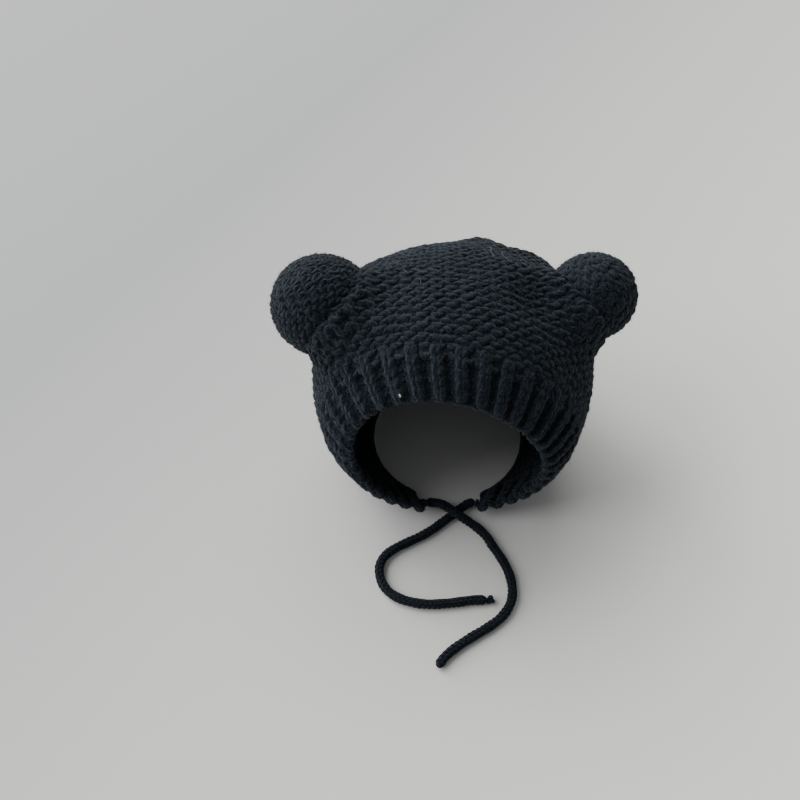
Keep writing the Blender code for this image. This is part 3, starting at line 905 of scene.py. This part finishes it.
def make_ear(name, polar, turn, radius, reach, pole):
    """One ear: a ball of purl rows round its pole, round a plain stuffed inside, with fibres."""
    aim = direction(math.radians(polar), math.radians(turn))
    flat_way = unit(np.array([0.0, 1.0, 0.0]) - aim * aim[1])
    middle = DOME_CENTRE + CROWN_RADIUS * (1 + reach) * aim
    radius = CROWN_RADIUS * radius
    pole = unit(np.array(pole))
    first = unit(np.cross(pole, UP))
    second = np.cross(pole, first)

    def place_on_ball(angle, round_angle, lift):
        """middle + (radius + lift) * (cos a pole + sin a (cos b first + sin b second)), drawn in
        a little from front to back."""
        ring = np.cos(round_angle)[..., None] * first + np.sin(round_angle)[..., None] * second
        out = np.cos(angle)[..., None] * pole + np.sin(angle)[..., None] * ring
        squeezed = out - (1 - EAR_FLATNESS) * (out @ flat_way)[..., None] * flat_way
        return middle + (radius + lift)[..., None] * squeezed, out

    tubes = []
    step = EAR_ROW / radius
    around = np.linspace(0.0, FULL, EAR_PLACES + 1)[:-1]
    for angle in np.arange(0.55 * step, math.pi - 0.3 * step, step):
        stitches = max(5, round(FULL * radius * math.sin(angle) / EAR_STITCH))
        ring, _ = place_on_ball(np.full(EAR_PLACES, angle), around,
                                np.full(EAR_PLACES, -WALL / 2))
        stretch = free_stretch(ring)
        if stretch is None:
            continue
        t = np.arange(stretch[0] * stitches, stretch[1] * stitches, FULL / SEGMENTS)
        if len(t) < 6:
            continue
        round_angle = t / stitches + LOOP_SWING * FULL / stitches * np.sin(2 * t)
        row = angle - (LOOP_REACH * EAR_ROW + uneven(t, 0.0003)) / radius * np.cos(t)
        lift = EAR_LIFT + EAR_DEPTH * np.cos(2 * t) + uneven(t, 0.0002)
        place, out = place_on_ball(row, round_angle, lift)
        tubes.append(sweep(place, out, spun(YARN_RADIUS * EAR_YARN_SHARE, t, 0.09, 0.14), SIDES))

    # The stuffed inside, which keeps the gaps between the loops dark
    down = np.linspace(0.0, math.pi, 25)[:, None]
    about = np.linspace(0.0, FULL, 41)[None, :]
    inner, _ = place_on_ball(down + 0 * about, about + 0 * down, np.full((25, 41), EAR_INSIDE))
    tubes.append(patch(inner, height_over_crown(inner) < -EAR_SUNK))
    shape = join(tubes)
    piece = add_mesh(name + "_knit", shape, ear_yarn)
    stand_for(piece, name)
    add_fuzz(name + "_fuzz", shape, EAR_FIBRES, name)


for ear in EARS:
    make_ear(*ear)

# %% [markdown]
# ## The neck edge
#
# The hat stands on the edge of its neck opening. On the real one, the rows turn round there and
# leave a chain of edge stitches. It is knitted here as a narrow cord that follows the line where
# the wall meets the surface, and it covers the ends of the rows.


# %% Neck edge
# The edge cord's diameter, its yarn's radius, the height of its rows and of its middle line
EDGE_DIAMETER = 0.0056
EDGE_YARN = 0.00110
EDGE_ROW = 0.0046
EDGE_HEIGHT = 0.0029
# How far it lies inside the middle of the wall
EDGE_INSET = 0.0002
# It runs from this angle beside the front round to the same angle on the other side
EDGE_START = 22.0


def neck_line(height, lift, left, right):
    """The line at one height on the dome, from the left flap round the back to the right one.
    For each way round, the radius that reaches the height is found by going to and fro between
    the dome's radius and the level distance, sqrt(radius^2 - drop^2)."""
    steps = 400
    around = np.linspace(left, right, steps)
    drop = height - DOME_CENTRE[2]
    radius = np.full(steps, CROWN_RADIUS + lift)
    for _ in range(8):
        level = np.sqrt(radius**2 - drop**2)
        away = np.stack([level * np.sin(around), -level * np.cos(around),
                         np.full(steps, drop)], -1)
        polar = np.arccos(-away[:, 1] / radius)
        turn = np.arctan2(away[:, 0], away[:, 2])
        radius = dome_radius(polar, turn) + lift
    return DOME_CENTRE + away


neck = neck_line(EDGE_HEIGHT, -WALL / 2 - EDGE_INSET, math.radians(EDGE_START),
                 math.radians(360.0 - EDGE_START))
shape, _, length = knitted_cord(neck[::12], EDGE_DIAMETER, EDGE_ROW, EDGE_YARN, 12)
neck_edge = add_mesh("neck_edge", shape, crown_yarn)
stand_for(neck_edge, "crown")
print("the neck edge is", round(length * 1000), "mm long")

# %% [markdown]
# ## The surface and the light
#
# The hat stands on a plain pale surface, in soft light that comes from behind and from the left,
# so its shadow falls softly to the front and the right. Light and shade are also painted into the
# surface's colour: it is lighter and warmer to the right and in front, and darker to the left and
# behind.


# %% Floor and lights
FLOOR_REACH = 12.0
# Painted shade and painted light: the floor's colour runs from the first colour to the second
FLOOR_PAINTED_SHADE = (0.48, 0.485, 0.485, 1.0)
FLOOR_PAINTED_LIGHT = (0.97, 0.96, 0.905, 1.0)
# The way in which the floor's painted light grows, and how far from the middle it stops doing so
FLOOR_PAINTED_LIGHT_WAY = (0.80, -0.58, 0.0)
FLOOR_PAINTED_LIGHT_SPAN = 0.25
# Name, place and size in metres, power in watts and colour of each square light
LIGHTS = (
    ("window", (-3.00, 0.90, 1.80), 4.8, 235.0, (0.97, 0.985, 1.0)),
    ("ceiling", (-1.00, 2.90, 2.40), 4.4, 185.0, (1.0, 0.99, 0.97)),
)
LIGHTS_AIM = (0.0, -0.02, 0.05)
ROOM_COLOUR = (0.95, 0.975, 1.0, 1.0)
ROOM_STRENGTH = 0.24


def make_floor():
    """A wide flat sheet at height zero. Its colour holds painted light and shade: a little lighter
    and warmer to the right and in front, and darker to the left and behind.
    """
    mesh = bpy.data.meshes.new("floor")
    far = FLOOR_REACH
    mesh.from_pydata([(-far, -far, 0), (far, -far, 0), (far, far, 0), (-far, far, 0)], [],
                     [(0, 1, 2, 3)])
    floor = bpy.data.objects.new("floor", mesh)
    bpy.context.scene.collection.objects.link(floor)
    material = bpy.data.materials.new("pale_surface_painted_light")
    material.use_nodes = True
    nodes, links = material.node_tree.nodes, material.node_tree.links
    shader = nodes["Principled BSDF"]
    place = nodes.new("ShaderNodeTexCoord")
    # Painted light: the colour grows lighter and warmer along one way over the floor
    painted_light_slope = nodes.new("ShaderNodeVectorMath")
    painted_light_slope.operation = "DOT_PRODUCT"
    painted_light_slope.inputs[1].default_value = FLOOR_PAINTED_LIGHT_WAY
    links.new(place.outputs["Object"], painted_light_slope.inputs[0])
    spread = nodes.new("ShaderNodeMapRange")
    spread.inputs["From Min"].default_value = -FLOOR_PAINTED_LIGHT_SPAN
    spread.inputs["From Max"].default_value = FLOOR_PAINTED_LIGHT_SPAN
    links.new(painted_light_slope.outputs["Value"], spread.inputs["Value"])
    ramp = nodes.new("ShaderNodeValToRGB")
    ramp.color_ramp.elements[0].color = FLOOR_PAINTED_SHADE
    ramp.color_ramp.elements[1].color = FLOOR_PAINTED_LIGHT
    links.new(spread.outputs["Result"], ramp.inputs[0])
    links.new(ramp.outputs[0], shader.inputs["Base Color"])
    shader.inputs["Roughness"].default_value = 0.75
    shader.inputs["Specular IOR Level"].default_value = 0.2
    mesh.materials.append(material)


def make_light(name, place, size, power, colour):
    """A square soft light that looks at the hat."""
    data = bpy.data.lights.new(name, "AREA")
    data.size = size
    data.energy = power
    data.color = colour
    light = bpy.data.objects.new(name, data)
    light.location = place
    light.rotation_mode = "QUATERNION"
    look = Vector(LIGHTS_AIM) - Vector(place)
    light.rotation_quaternion = look.to_track_quat("-Z", "Y")
    bpy.context.scene.collection.objects.link(light)


make_floor()
for light in LIGHTS:
    make_light(*light)
world = bpy.data.worlds.new("room_light")
world.use_nodes = True
world.node_tree.nodes["Background"].inputs["Color"].default_value = ROOM_COLOUR
world.node_tree.nodes["Background"].inputs["Strength"].default_value = ROOM_STRENGTH
bpy.context.scene.world = world
print("a floor and", len(LIGHTS), "lights")
